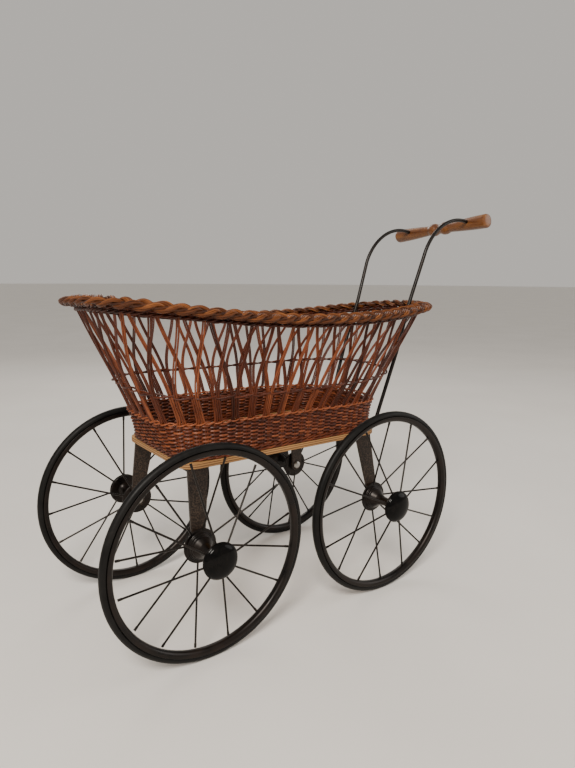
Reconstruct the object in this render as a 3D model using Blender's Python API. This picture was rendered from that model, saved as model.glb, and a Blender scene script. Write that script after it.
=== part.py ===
"""Wicker doll pram: a willow basket with a flared plaited rim on a wooden base board, four flat steel legs
with stub axles, four wire-spoked wheels that turn, and a push handle of two bent rods and a turned grip.

Metres, +Z up. X is the long axis with the handle at +X, Y is the axle direction, the floor is z = 0.
The origin lies on the floor under the middle of the overall length.
"""

from math import atan, cos, hypot, pi, radians, sin

import bmesh
import bpy

# ---------------------------------------------------------------- driving dimensions (metres)
WHEEL_R = 0.140           # tyre outer radius
WHEELBASE = 0.302         # axle to axle along X
TRACK = 0.257             # tyre centre to tyre centre along Y
CLEAR = 0.0003            # gap kept between neighbouring pieces

TYRE_WIDTH = 0.0115
TYRE_INNER_R = 0.1305
RIM_INNER_R = 0.1245
RIM_WIDTH = 0.0125
WHEEL_SEGMENTS = 32
HUB_SEGMENTS = 16

FLANGE_R = 0.0230         # both hub flanges
FLANGE_THICK = 0.0025
HUB_INNER_Y = 0.1010      # inner face of the inner flange, from the middle of the pram
HUB_OUTER_Y = 0.1530      # outer face of the outer flange
SPOKE_R = 0.0013
SPOKES_PER_FLANGE = 8
CAP_R = 0.0236
CAP_DEPTH = 0.0102
CAP_WALL = 0.0015
CAP_EDGE = 0.0030         # the straight edge below the dome

AXLE_R = 0.0030
AXLE_RUNNING_GAP = 0.00008
AXLE_HEAD_R = 0.0065
WASHER_R = 0.0070
WASHER_THICK = 0.0012
NUT_R = 0.0060             # across the corners
NUT_THICK = 0.0035

BOARD_HALF_LENGTH = 0.166
BOARD_HALF_WIDTH = 0.094
BOARD_UNDERSIDE_Z = 0.238
BOARD_THICK = 0.007
BOARD_CORNER_R = 0.022
FLOOR_INSET = 0.0115      # the floor panel ends this far inside the board's edge
FLOOR_CORNER_R = 0.022
FLOOR_RAISE = 0.0005

LEG_THICK = 0.004
LEG_WIDTH_LOW = 0.020
LEG_WIDTH_TOP = 0.029
LEG_OUTER_Y_LOW = 0.0990
LEG_OUTER_Y_TOP = 0.0860
LEG_BEND_Z = 0.156        # the blade is upright below this and leans in above it
LEG_TOP_INSET_X = 0.008   # the legs lean in towards the middle by this much at the top
LEG_FOOT_LENGTH = 0.022
LEG_SCREW_SPACING = 0.0155

SCREW_R = 0.0016
SCREW_HEAD_R = 0.0036
SCREW_HEAD_HIGH = 0.0018
LEG_SCREW_LENGTH = 0.0095
CLIP_SCREW_LENGTH = 0.0065

WEAVE_THICK = 0.0070
STAKES = 42               # stake pairs round the basket
LATTICE_WIRE = 0.0042

BRAID_HALF_WIDTH = 0.0152
BRAID_HALF_HEIGHT = 0.0064
BRAID_TILT = radians(9)   # its outer edge droops
BRAID_SEGMENTS = 48

ROD_R = 0.0030
ROD_FOOT_Y = 0.0580       # the handle rods stand this far from the middle under the board,
ROD_WALL_Y = 0.0636       # this far where they pass between the stakes,
ROD_WALL_Z = 0.365
ROD_RIM_Y = 0.0610        # this far at the height of the rim
ROD_RIM_Z = 0.430
ROD_GRIP_Y = 0.0655       # and this far at the grip
ROD_LEAN = atan(0.345)    # from the vertical, towards the rear
ROD_FOOT_X = 0.108        # where the rods end under the board
ROD_FOOT_BEND_R = 0.016
ROD_KNEE_X = 0.1950       # the leaning line passes this x ...
ROD_KNEE_Z = 0.2488       # ... at this height
ROD_BOW_R = 0.0903        # the large bend at the top
ROD_BOW_TOP_Z = 0.5670
ROD_TOP_SKEW = 0.0050     # the left rod is bent this much higher than that, the right one this much lower
ROD_DIP = radians(15.5)   # the rods enter the grip pointing this far down
ROD_IN_GRIP = 0.009
SOCKET_SLACK = 0.0006      # the sockets are this much wider than the rods, which still bend a little inside
GRIP_HALF_LENGTH = 0.1015
GRIP_END_R = 0.0118
GRIP_SEGMENTS = 16
CLIP_X = (0.122, 0.156)   # P-clips that hold each rod under the board
CLIP_WIDTH = 0.009
CLIP_THICK = 0.0012
CLIP_TAB_END = 0.0140     # how far the flat tab reaches inboard of its rod
CLIP_SCREW_Y = 0.0095     # how far its screw stands inboard of the rod

RIM_FRONT_X = -0.2555     # front end of the braid's centre line
RIM_REAR_X = 0.3125       # rear end
GRIP_X = 0.399
# The front tyres and the grip are the two ends of the pram: this puts the origin midway between them.
SHIFT_X = ((WHEELBASE / 2 + WHEEL_R) - (GRIP_X + GRIP_END_R)) / 2

# Basket outlines: front x, rear x, half width, superellipse exponents of the front and rear halves, and the
# height over t = -1 at the front to +1 at the rear, as the factors of 1, t, t squared and t to the fourth
BOARD_TOP_Z = BOARD_UNDERSIDE_Z + BOARD_THICK
OUTLINES = {
    "weave_low": (-0.1655, 0.1655, 0.0935, (9.0, 9.0), (BOARD_TOP_Z + CLEAR, 0.0, 0.0, 0.0)),
    "weave_top": (-0.1865, 0.2045, 0.0950, (4.2, 3.2), (0.2950, -0.0040, -0.0035, 0.0)),
    "fitch": (-0.2040, 0.2330, 0.1075, (4.0, 2.8), (0.3285, -0.0020, 0.0050, 0.0)),
    "braid": (RIM_FRONT_X, RIM_REAR_X, 0.1200, (3.5, 2.65), (0.4180, -0.0085, 0.0275, -0.0060)),
}

# Turn of each wheel at rest, in degrees, as the pram stands
WHEELS = {
    "front_left": (-1, -1, 33.6),
    "front_right": (-1, 1, 42.2),
    "rear_left": (1, -1, 24.3),
    "rear_right": (1, 1, 19.0),
}


# ---------------------------------------------------------------- helpers
def clear_scene():
    for item in list(bpy.data.objects):
        bpy.data.objects.remove(item, do_unlink=True)


def material(name, colour, roughness, metallic=0.0):
    made = bpy.data.materials.new(name)
    made.use_nodes = True
    shader = made.node_tree.nodes["Principled BSDF"]
    shader.inputs["Base Color"].default_value = (*colour, 1.0)
    shader.inputs["Roughness"].default_value = roughness
    shader.inputs["Metallic"].default_value = metallic
    made.diffuse_color = (*colour, 1.0)
    return made


def add_object(name, points, faces, look, smooth_angle=None):
    mesh = bpy.data.meshes.new(name)
    mesh.from_pydata(points, [], faces)
    mesh.validate()
    if smooth_angle is not None:
        mesh.shade_smooth()
        mesh.set_sharp_from_angle(angle=radians(smooth_angle))
    made = bpy.data.objects.new(name, mesh)
    bpy.context.scene.collection.objects.link(made)
    if look is not None:
        made.data.materials.append(look)
    return made


def as_cutter(item):
    item.hide_render = True
    item.display_type = "WIRE"
    return item


def boolean(item, other, operation):
    modifier = item.modifiers.new(operation.lower(), "BOOLEAN")
    modifier.operation = operation
    modifier.solver = "EXACT"
    modifier.object = other


def place(item, x, y, z):
    item.location = (x + SHIFT_X, y, z)
    return item


def turned(name, profile, look, segments, first_angle=0.0, smooth_angle=35):
    """A turned piece about Y from (y, r) points. The profile closes on itself if it never reaches r = 0."""
    ring = len(profile)
    closed = all(r > 0 for _, r in profile)
    points, starts = [], []
    for y, r in profile:
        starts.append(len(points))
        if r == 0:
            points.append((0.0, y, 0.0))
            continue
        for k in range(segments):
            a = first_angle + 2 * pi * k / segments
            points.append((r * cos(a), y, r * sin(a)))
    faces = []
    for i in range(ring if closed else ring - 1):
        j = (i + 1) % ring
        for k in range(segments):
            n = (k + 1) % segments
            a, b = starts[i] + k, starts[i] + n
            c, d = starts[j] + n, starts[j] + k
            if profile[i][1] == 0:
                faces.append((starts[i], c, d))
            elif profile[j][1] == 0:
                faces.append((a, b, starts[j]))
            else:
                faces.append((a, b, c, d))
    made = add_object(name, points, faces, look, smooth_angle)
    recalculate(made)
    return made


def mirrored(profile, side):
    """A profile written for the +Y side, moved to the given side."""
    return [(side * y, r) for y, r in profile]


def rod_mesh(start, end, radius, sides):
    """Corner points and faces of one straight rod from start to end."""
    along = [e - s for s, e in zip(start, end)]
    length = hypot(*along)
    w = [c / length for c in along]
    helper = (0.0, 1.0, 0.0) if abs(w[1]) < 0.9 else (1.0, 0.0, 0.0)
    u = cross(helper, w)
    size = hypot(*u)
    u = [c / size for c in u]
    v = cross(w, u)
    points = []
    for centre in (start, end):
        for k in range(sides):
            a = 2 * pi * k / sides
            points.append(tuple(c + radius * (cos(a) * p + sin(a) * q) for c, p, q in zip(centre, u, v)))
    faces = [(k, (k + 1) % sides, sides + (k + 1) % sides, sides + k) for k in range(sides)]
    faces.append(tuple(reversed(range(sides))))
    faces.append(tuple(range(sides, 2 * sides)))
    return points, faces


def cross(p, q):
    return [p[1] * q[2] - p[2] * q[1], p[2] * q[0] - p[0] * q[2], p[0] * q[1] - p[1] * q[0]]


def rods_object(name, rods, look, sides):
    """Several straight rods in one mesh: (start, end, radius) each."""
    points, faces = [], []
    for start, end, radius in rods:
        more, sides_of = rod_mesh(start, end, radius, sides)
        faces += [tuple(i + len(points) for i in face) for face in sides_of]
        points += more
    return add_object(name, points, faces, look)


def prism(name, outline, low, high, look, smooth_angle=35):
    """A flat outline in X and Y, carried from low to high along Z."""
    count = len(outline)
    points = [(x, y, z) for z in (low, high) for x, y in outline]
    faces = [tuple(range(count)), tuple(reversed(range(count, 2 * count)))]
    faces += [(k, count + k, count + (k + 1) % count, (k + 1) % count) for k in range(count)]
    made = add_object(name, points, faces, look, smooth_angle)
    recalculate(made)
    return made


def recalculate(item):
    """Turns a closed mesh's faces outwards."""
    work = bmesh.new()
    work.from_mesh(item.data)
    bmesh.ops.recalc_face_normals(work, faces=work.faces)
    work.to_mesh(item.data)
    work.free()


# ---------------------------------------------------------------- basket outlines
def height_of(terms, t):
    base, slope, bow, ends = terms
    return base + slope * t + bow * t ** 2 + ends * t ** 4


def outline_point(outline, angle, inset=0.0):
    front, rear, half_width, (front_exponent, rear_exponent), terms = outline
    c, s = cos(angle), sin(angle)
    power = 2.0 / (rear_exponent if c >= 0 else front_exponent)
    t = abs(c) ** power * (1 if c >= 0 else -1)
    side = abs(s) ** power * (1 if s >= 0 else -1)
    half_length = (rear - front) / 2 - inset
    return ((front + rear) / 2 + half_length * t, (half_width - inset) * side, height_of(terms, t))


def even_ring(outline, count, first=0.0, inset=0.0, lift=0.0):
    """Points evenly spaced along an outline, starting at the rear middle and going to +Y."""
    fine = 1440
    path = [outline_point(outline, 2 * pi * k / fine, inset) for k in range(fine + 1)]
    run = [0.0]
    for a, b in zip(path, path[1:]):
        run.append(run[-1] + hypot(b[0] - a[0], b[1] - a[1]))
    ring, k = [], 0
    for i in range(count):
        goal = run[-1] * ((i + first) % count) / count
        if i and goal < run[k]:
            k = 0
        while run[k + 1] < goal:
            k += 1
        part = (goal - run[k]) / (run[k + 1] - run[k])
        x, y, z = (a + (b - a) * part for a, b in zip(path[k], path[k + 1]))
        ring.append((x + SHIFT_X, y, z + lift))
    return ring


# ---------------------------------------------------------------- pieces
def screw_object(name, x, y, z, length, look):
    """A pan-head wood screw that points up, its head's underside at z."""
    profile = [(-SCREW_HEAD_HIGH, 0.0), (-SCREW_HEAD_HIGH, SCREW_HEAD_R * 0.6),
               (-SCREW_HEAD_HIGH / 2, SCREW_HEAD_R), (0.0, SCREW_HEAD_R), (0.0, SCREW_R),
               (length - 0.002, SCREW_R), (length, 0.0)]
    made = turned(name, profile, look, 6)
    made.rotation_euler = (pi / 2, 0.0, 0.0)
    return place(made, x, y, z)


def screw_hole(name, x, y, low, high):
    radius = SCREW_R + CLEAR
    return as_cutter(rods_object(name, [((x + SHIFT_X, y, low), (x + SHIFT_X, y, high), radius)], None, 8))


def board_hole(name, x, y, tip_z):
    """A blind hole in the board's underside, a little deeper than the screw's tip."""
    return screw_hole(name, x, y, BOARD_UNDERSIDE_Z - 0.001, tip_z + CLEAR)


def rounded_rectangle(half_length, half_width, radius, steps=4):
    """Outline points of a rectangle with round corners, centred under the basket."""
    outline = []
    for cx, cy, first in ((1, 1, 0), (-1, 1, pi / 2), (-1, -1, pi), (1, -1, 3 * pi / 2)):
        for k in range(steps + 1):
            a = first + pi / 2 * k / steps
            x = cx * (half_length - radius) + radius * cos(a)
            y = cy * (half_width - radius) + radius * sin(a)
            outline.append((x + SHIFT_X, y))
    return outline


def base_board(looks, holes):
    """The plywood board. Its floor panel, inside the wall, stands a hair above the ledge under the wall."""
    outline = rounded_rectangle(BOARD_HALF_LENGTH, BOARD_HALF_WIDTH, BOARD_CORNER_R)
    made = prism("base_board", outline, BOARD_UNDERSIDE_Z, BOARD_TOP_Z, looks["ply"])
    half_length, half_width = BOARD_HALF_LENGTH - FLOOR_INSET, BOARD_HALF_WIDTH - FLOOR_INSET
    panel = rounded_rectangle(half_length, half_width, FLOOR_CORNER_R)
    raised = prism("floor_panel", panel, BOARD_TOP_Z - FLOOR_RAISE, BOARD_TOP_Z + FLOOR_RAISE, looks["ply"])
    boolean(made, as_cutter(raised), "UNION")
    for hole in holes:
        boolean(made, hole, "DIFFERENCE")
    return made


def lower_weave(looks):
    """The dense lower wall: one closed ring between the board and the top of the weave."""
    count = 42
    low, top = OUTLINES["weave_low"], OUTLINES["weave_top"]
    rings = []
    for inset, parts in ((0.0, (0.0, 0.5, 1.0)), (WEAVE_THICK, (1.0, 0.5, 0.0))):
        bottom = even_ring(low, count, inset=inset)
        upper = even_ring(top, count, inset=inset)
        for part in parts:
            rings.append([tuple(a + (b - a) * part for a, b in zip(p, q)) for p, q in zip(bottom, upper)])
    return ring_stack("lower_weave", rings, looks["willow"])


def ring_stack(name, rings, look, smooth_angle=40):
    """A closed tube-like ring: each ring of points is joined to the next, and the last to the first."""
    count = len(rings[0])
    points = [p for ring in rings for p in ring]
    faces = []
    for i in range(len(rings)):
        j = (i + 1) % len(rings)
        for k in range(count):
            n = (k + 1) % count
            faces.append((i * count + k, i * count + n, j * count + n, j * count + k))
    made = add_object(name, points, faces, look, smooth_angle)
    recalculate(made)
    return made


def stake_lattice(looks):
    """The openwork: stakes upright to the fitching height, then crossing to one pitch either side at the rim.

    Both rods of the handle pass through the middle of a cell, because a stake pair is half a pitch off the
    basket's middle line.
    """
    inset = WEAVE_THICK / 2
    foot = even_ring(OUTLINES["weave_top"], STAKES, first=0.5, inset=inset, lift=0.0032)
    fitch = even_ring(OUTLINES["fitch"], STAKES, first=0.5, inset=inset)
    top = even_ring(OUTLINES["braid"], STAKES, first=0.5, inset=0.004, lift=-BRAID_HALF_HEIGHT - 0.003)
    points = foot + fitch + top
    for i in range(STAKES):
        n = (i + 1) % STAKES
        corners = (fitch[i], fitch[n], top[i], top[n])
        points.append(tuple(sum(c[k] for c in corners) / 4 for k in range(3)))
    faces = []
    for i in range(STAKES):
        n, p = (i + 1) % STAKES, (i - 1) % STAKES
        crossing, before = 3 * STAKES + i, 3 * STAKES + p
        faces.append((i, n, STAKES + n, crossing, STAKES + i))
        faces.append((STAKES + i, crossing, 2 * STAKES + i, before))
        faces.append((crossing, 2 * STAKES + n, 2 * STAKES + i))
    made = add_object("stake_lattice", points, faces, looks["willow"])
    wires = made.modifiers.new("stakes", "WIREFRAME")
    wires.thickness = LATTICE_WIRE
    wires.use_even_offset = False
    wires.use_replace = True
    wires.use_boundary = True
    return made


def rim_braid(looks):
    """The flared plaited border, as a plain closed ring of oval section."""
    centre = even_ring(OUTLINES["braid"], BRAID_SEGMENTS)
    inner = even_ring(OUTLINES["braid"], BRAID_SEGMENTS, inset=0.010)
    sides = 8
    rings = []
    for k in range(sides):
        a = 2 * pi * k / sides
        ring = []
        for p, q in zip(centre, inner):
            size = hypot(p[0] - q[0], p[1] - q[1])
            out = ((p[0] - q[0]) / size, (p[1] - q[1]) / size)
            wide, high = BRAID_HALF_WIDTH * cos(a), BRAID_HALF_HEIGHT * sin(a)
            outwards = wide * cos(BRAID_TILT) + high * sin(BRAID_TILT)
            upwards = high * cos(BRAID_TILT) - wide * sin(BRAID_TILT)
            ring.append((p[0] + out[0] * outwards, p[1] + out[1] * outwards, p[2] + upwards))
        rings.append(ring)
    return ring_stack("rim_braid", rings, looks["willow_rim"], 60)


def leg(name, side_x, side_y, looks):
    """A flat steel leg: an upright blade for the axle, a leaning one above it, and a foot under the board."""
    axle_x = side_x * WHEELBASE / 2
    top_x = axle_x - side_x * LEG_TOP_INSET_X
    low_r = LEG_WIDTH_LOW / 2
    foot_z = BOARD_UNDERSIDE_Z - CLEAR
    under_z = foot_z - LEG_THICK
    steps = 8
    low_y, top_y = LEG_OUTER_Y_LOW, LEG_OUTER_Y_TOP
    angles = [pi + pi * k / steps for k in range(steps + 1)]
    arc = [(axle_x + low_r * cos(a), low_y, WHEEL_R + low_r * sin(a)) for a in angles]
    bend = [(axle_x + low_r, low_y, LEG_BEND_Z), (axle_x - low_r, low_y, LEG_BEND_Z)]
    top = [(top_x + LEG_WIDTH_TOP / 2, top_y, under_z), (top_x - LEG_WIDTH_TOP / 2, top_y, under_z)]
    outer = arc + bend + top
    inner = [(x, y - LEG_THICK, z) for x, y, z in outer]
    foot_end = top_y - LEG_FOOT_LENGTH
    foot_section = ((top_y, foot_z), (foot_end, foot_z), (foot_end, under_z))
    foot = [(x, y, z) for y, z in foot_section for x, _, _ in top]
    points = [(x + SHIFT_X, side_y * y, z) for x, y, z in outer + inner + foot]
    n, arc_end = len(outer), len(arc)
    right, left, top_right, top_left = arc_end, arc_end + 1, arc_end + 2, arc_end + 3
    edge = [2 * n + k for k in range(6)]
    faces = []
    for first in (0, n):
        faces.append(tuple(first + k for k in range(arc_end + 2)))
        faces.append(tuple(first + k for k in (left, right, top_right, top_left)))
    loop = list(range(arc_end)) + [right, top_right]
    faces += [(p, q, n + q, n + p) for p, q in zip(loop, loop[1:])]
    faces += [(p, q, n + q, n + p) for p, q in ((0, left), (left, top_left))]
    faces.append((top_right, top_left, edge[1], edge[0]))
    faces.append((edge[0], edge[1], edge[3], edge[2]))
    faces.append((edge[2], edge[3], edge[5], edge[4]))
    faces.append((edge[4], edge[5], n + top_left, n + top_right))
    faces.append((top_right, edge[0], edge[2], edge[4], n + top_right))
    faces.append((top_left, edge[1], edge[3], edge[5], n + top_left))
    made = add_object(name, points, faces, looks["hammertone"], 30)
    recalculate(made)
    hole_ends = [(axle_x + SHIFT_X, side_y * y, WHEEL_R) for y in (low_y - 0.010, low_y + 0.006)]
    hole = as_cutter(rods_object(name + "_axle_hole", [(*hole_ends, AXLE_R + CLEAR)], None, 16))
    boolean(made, hole, "DIFFERENCE")
    for k, (x, y) in enumerate(foot_screws(side_x, side_y)):
        boolean(made, screw_hole(f"{name}_hole_{k}", x, y, under_z - 0.001, foot_z + 0.001), "DIFFERENCE")
    return made


def foot_screws(side_x, side_y):
    """Where the two screws of one leg's foot stand, side by side along X."""
    x = side_x * (WHEELBASE / 2 - LEG_TOP_INSET_X)
    y = side_y * (LEG_OUTER_Y_TOP - LEG_FOOT_LENGTH * 0.6)
    return [(x + step, y) for step in (-LEG_SCREW_SPACING / 2, LEG_SCREW_SPACING / 2)]


def clip_screws():
    """Where the screw of each P-clip stands, on the clip's inboard tab."""
    return [(x, side * (ROD_FOOT_Y - CLIP_SCREW_Y)) for side in (-1, 1) for x in CLIP_X]


def wheel_hub(name, side, looks):
    """A long turned hub with two spoke flanges, and the sixteen spokes that alternate between them."""
    bore = AXLE_R + AXLE_RUNNING_GAP
    inner, outer = HUB_INNER_Y, HUB_OUTER_Y
    profile = [(inner, bore), (inner, FLANGE_R), (inner + FLANGE_THICK, FLANGE_R),
               (inner + FLANGE_THICK, 0.0175), (inner + 0.0060, 0.0170), (inner + 0.0060, 0.0140),
               (inner + 0.0105, 0.0130), (inner + 0.0190, 0.0078), (outer - 0.0100, 0.0058),
               (outer - FLANGE_THICK, 0.0085), (outer - FLANGE_THICK, FLANGE_R), (outer, FLANGE_R),
               (outer, bore)]
    hub = turned(name, mirrored(profile, side), looks["hammertone"], HUB_SEGMENTS)
    rods = []
    for k in range(2 * SPOKES_PER_FLANGE):
        a = pi * k / SPOKES_PER_FLANGE
        flange_y = inner + FLANGE_THICK / 2 if k % 2 else outer - FLANGE_THICK / 2
        start = (0.0185 * cos(a), side * flange_y, 0.0185 * sin(a))
        reach = RIM_INNER_R * cos(pi / WHEEL_SEGMENTS) - CLEAR - 0.0004
        rods.append((start, (reach * cos(a), side * TRACK / 2, reach * sin(a)), SPOKE_R))
    spokes = as_cutter(rods_object(name + "_spokes", rods, None, 5))
    spokes.parent = hub
    boolean(hub, spokes, "UNION")
    return hub


def wheel_rim(name, side, looks):
    """A rolled steel rim: a shallow channel that seats the tyre, with a rounded inner face."""
    mid, half = TRACK / 2, RIM_WIDTH / 2
    outer = TYRE_INNER_R - CLEAR
    profile = [(mid - half, outer + 0.0020), (mid - half, outer - 0.0030), (mid, RIM_INNER_R),
               (mid + half, outer - 0.0030), (mid + half, outer + 0.0020),
               (mid + half - 0.0012, outer + 0.0020), (mid + half - 0.0012, outer - 0.0020),
               (mid - half + 0.0012, outer - 0.0020), (mid - half + 0.0012, outer + 0.0020)]
    return turned(name, mirrored(profile, side), looks["hammertone"], WHEEL_SEGMENTS, -pi / 2)


def wheel_tyre(name, side, looks):
    """A solid rubber tyre: a flat seat that sits in the rim's channel, and a rounded tread."""
    mid = TRACK / 2
    seat = RIM_WIDTH / 2 - 0.0012 - CLEAR
    half = TYRE_WIDTH / 2
    base = TYRE_INNER_R - 0.0020
    tread = [(mid - seat, base), (mid - seat, TYRE_INNER_R + 0.0022), (mid - half, TYRE_INNER_R + 0.0040)]
    steps = 3
    for k in range(steps + 1):
        a = pi - pi * k / steps
        tread.append((mid + half * 0.95 * cos(a), WHEEL_R - 0.0046 + 0.0046 * sin(a)))
    tread += [(mid + half, TYRE_INNER_R + 0.0040), (mid + seat, TYRE_INNER_R + 0.0022), (mid + seat, base)]
    middle = len(tread) // 2
    tread[middle] = (tread[middle][0], WHEEL_R)
    tread[middle - 1] = (tread[middle - 1][0], WHEEL_R)
    return turned(name, mirrored(tread, side), looks["rubber"], WHEEL_SEGMENTS, -pi / 2)


def hub_cap(name, side, looks):
    """A glossy domed cap, hollow, on the outer flange."""
    face = HUB_OUTER_Y + CLEAR
    rise = face + CAP_EDGE
    steps = 3
    outer, inner = [], []
    for k in range(steps + 1):
        a = pi / 2 * k / steps
        spread = cos(a) if k < steps else 0.0
        outer.append((rise + (face + CAP_DEPTH - rise) * sin(a), CAP_R * spread))
        inner.append((rise + (face + CAP_DEPTH - rise - CAP_WALL) * sin(a),
                      (CAP_R - CAP_WALL) * spread))
    profile = list(reversed(outer)) + [(face, CAP_R), (face, CAP_R - CAP_WALL)] + inner
    return turned(name, mirrored(profile, side), looks["gloss_black"], HUB_SEGMENTS, 0.0, 50)


def axle(name, side, looks):
    """A stub axle: a domed head inside the leg, and a shank through leg and hub, turned down for the nut."""
    head_y = LEG_OUTER_Y_LOW - LEG_THICK - CLEAR
    end_y = HUB_OUTER_Y + 0.0042
    profile = [(head_y - 0.0035, 0.0), (head_y - 0.0035, 0.0035), (head_y - 0.0015, AXLE_HEAD_R),
               (head_y, AXLE_HEAD_R), (head_y, AXLE_R), (end_y, AXLE_R), (end_y, 0.0)]
    return turned(name, mirrored(profile, side), looks["steel"], 12)


def plain_ring(name, low, thick, inner, outer, side, look, segments):
    """A washer or nut from y = low outwards."""
    profile = [(low, inner), (low, outer), (low + thick, outer), (low + thick, inner)]
    return turned(name, mirrored(profile, side), look, segments)


def wheel_set(place_name, looks):
    """One leg, its axle and everything that turns on it."""
    side_x, side_y, turn = WHEELS[place_name]
    x = side_x * WHEELBASE / 2
    leg("leg_" + place_name, side_x, side_y, looks)
    hole_r = AXLE_R + CLEAR
    nut_hole_r = hole_r / cos(pi / 6)
    hub = wheel_hub("hub_" + place_name, side_y, looks)
    hub.rotation_euler = (0.0, radians(turn), 0.0)
    pieces = [
        axle("axle_" + place_name, side_y, looks),
        plain_ring("washer_" + place_name, LEG_OUTER_Y_LOW + CLEAR, WASHER_THICK, hole_r, WASHER_R,
                   side_y, looks["steel"], 12),
        plain_ring("axle_nut_" + place_name, HUB_OUTER_Y + CLEAR, NUT_THICK, nut_hole_r, NUT_R,
                   side_y, looks["steel"], 6),
        hub,
        wheel_rim("wheel_rim_" + place_name, side_y, looks),
        wheel_tyre("tyre_" + place_name, side_y, looks),
        hub_cap("hub_cap_" + place_name, side_y, looks),
    ]
    for item in pieces:
        place(item, x, 0.0, WHEEL_R)


def bow_start(side):
    """Height at which the upright of one rod runs into the bow."""
    return ROD_BOW_TOP_Z - side * ROD_TOP_SKEW - ROD_BOW_R * (1 - sin(ROD_LEAN))


def rod_path(side):
    """One rod's centre line in X and Z: under the board, up past the basket, over the bow, into the grip."""
    foot_z = BOARD_UNDERSIDE_Z - CLEAR - ROD_R - 0.0002
    lean = (sin(ROD_LEAN), cos(ROD_LEAN))
    # The small bend joins the level foot to the leaning upright.
    turn = pi / 2 - ROD_LEAN
    reach = ROD_FOOT_BEND_R * sin(turn / 2) / cos(turn / 2)
    corner_x = ROD_KNEE_X + (foot_z - ROD_KNEE_Z) * lean[0] / lean[1]
    centre = (corner_x - reach, foot_z + ROD_FOOT_BEND_R)
    path = [(ROD_FOOT_X, foot_z), (corner_x - reach - 0.012, foot_z)]
    for k in range(7):
        a = -pi / 2 + turn * k / 6
        path.append((centre[0] + ROD_FOOT_BEND_R * cos(a), centre[1] + ROD_FOOT_BEND_R * sin(a)))
    # The bow: its centre lies one radius to the right of where the upright ends.
    bow_start_z = bow_start(side)
    bow_start_x = ROD_KNEE_X + (bow_start_z - ROD_KNEE_Z) * lean[0] / lean[1]
    for z in (ROD_WALL_Z, ROD_RIM_Z):
        path.append((ROD_KNEE_X + (z - ROD_KNEE_Z) * lean[0] / lean[1], z))
    centre = (bow_start_x + ROD_BOW_R * cos(ROD_LEAN), bow_start_z - ROD_BOW_R * sin(ROD_LEAN))
    steps = 12
    for k in range(steps + 1):
        a = pi - ROD_LEAN - (pi / 2 - ROD_LEAN + ROD_DIP) * k / steps
        path.append((centre[0] + ROD_BOW_R * cos(a), centre[1] + ROD_BOW_R * sin(a)))
    return path


def rod_spread(z, side):
    """How far a rod stands from the middle at one height."""
    stations = ((BOARD_UNDERSIDE_Z, ROD_FOOT_Y), (ROD_WALL_Z, ROD_WALL_Y), (ROD_RIM_Z, ROD_RIM_Y),
                (bow_start(side), ROD_GRIP_Y))
    for (low_z, low_y), (high_z, high_y) in zip(stations, stations[1:]):
        if z < high_z:
            return low_y + (high_y - low_y) * max((z - low_z) / (high_z - low_z), 0.0)
    return ROD_GRIP_Y


def grip_height(side):
    """Height at which the line along which one rod ends meets the grip's axis."""
    x, z = rod_path(side)[-1]
    return z - (GRIP_X - x) * sin(ROD_DIP) / cos(ROD_DIP)


def handle_rod(name, side, looks):
    path = rod_path(side)
    end = path[-1]
    run = (GRIP_X - end[0]) / cos(ROD_DIP) - GRIP_END_R + ROD_IN_GRIP + 0.001
    path.append((end[0] + run * cos(ROD_DIP), end[1] - run * sin(ROD_DIP)))
    curve = bpy.data.curves.new(name, "CURVE")
    curve.dimensions = "3D"
    curve.bevel_depth = ROD_R
    curve.bevel_resolution = 2
    curve.use_fill_caps = True
    spline = curve.splines.new("POLY")
    spline.points.add(len(path) - 1)
    for point, (x, z) in zip(spline.points, path):
        point.co = (x + SHIFT_X, side * rod_spread(z, side), z, 1.0)
    spline.use_smooth = True
    made = bpy.data.objects.new(name, curve)
    bpy.context.scene.collection.objects.link(made)
    made.data.materials.append(looks["rod_steel"])
    return path[-1]


def grip(looks, rod_ends):
    """The turned grip: thick ends that taper to two beads in the middle, tilted as the rods hold it."""
    half = GRIP_HALF_LENGTH
    ends = [(half, 0.0), (half, GRIP_END_R - 0.0022), (half - 0.0022, GRIP_END_R),
            (half - 0.022, GRIP_END_R - 0.0006), (0.046, 0.0088), (0.0245, 0.0074), (0.0180, 0.0096),
            (0.0110, 0.0102), (0.0045, 0.0086), (0.0, 0.0066)]
    profile = ends + [(-y, r) for y, r in reversed(ends[:-1])]
    made = turned("handle_grip", profile, looks["turned_wood"], GRIP_SEGMENTS, 0.0, 40)
    left_z, right_z = grip_height(-1), grip_height(1)
    place(made, GRIP_X, 0.0, (left_z + right_z) / 2)
    made.rotation_euler = (atan((right_z - left_z) / (2 * ROD_GRIP_Y)), 0.0, 0.0)
    slope = (cos(ROD_DIP), -sin(ROD_DIP))
    for side, (end_x, end_z) in rod_ends.items():
        deep = (end_x + slope[0] * CLEAR + SHIFT_X, end_z + slope[1] * CLEAR)
        out = (deep[0] - slope[0] * 0.030, deep[1] - slope[1] * 0.030)
        y = side * ROD_GRIP_Y
        line = ((out[0], y, out[1]), (deep[0], y, deep[1]), ROD_R + SOCKET_SLACK)
        boolean(made, as_cutter(rods_object(f"grip_socket_{side}", [line], None, 12)), "DIFFERENCE")
    return made


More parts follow.
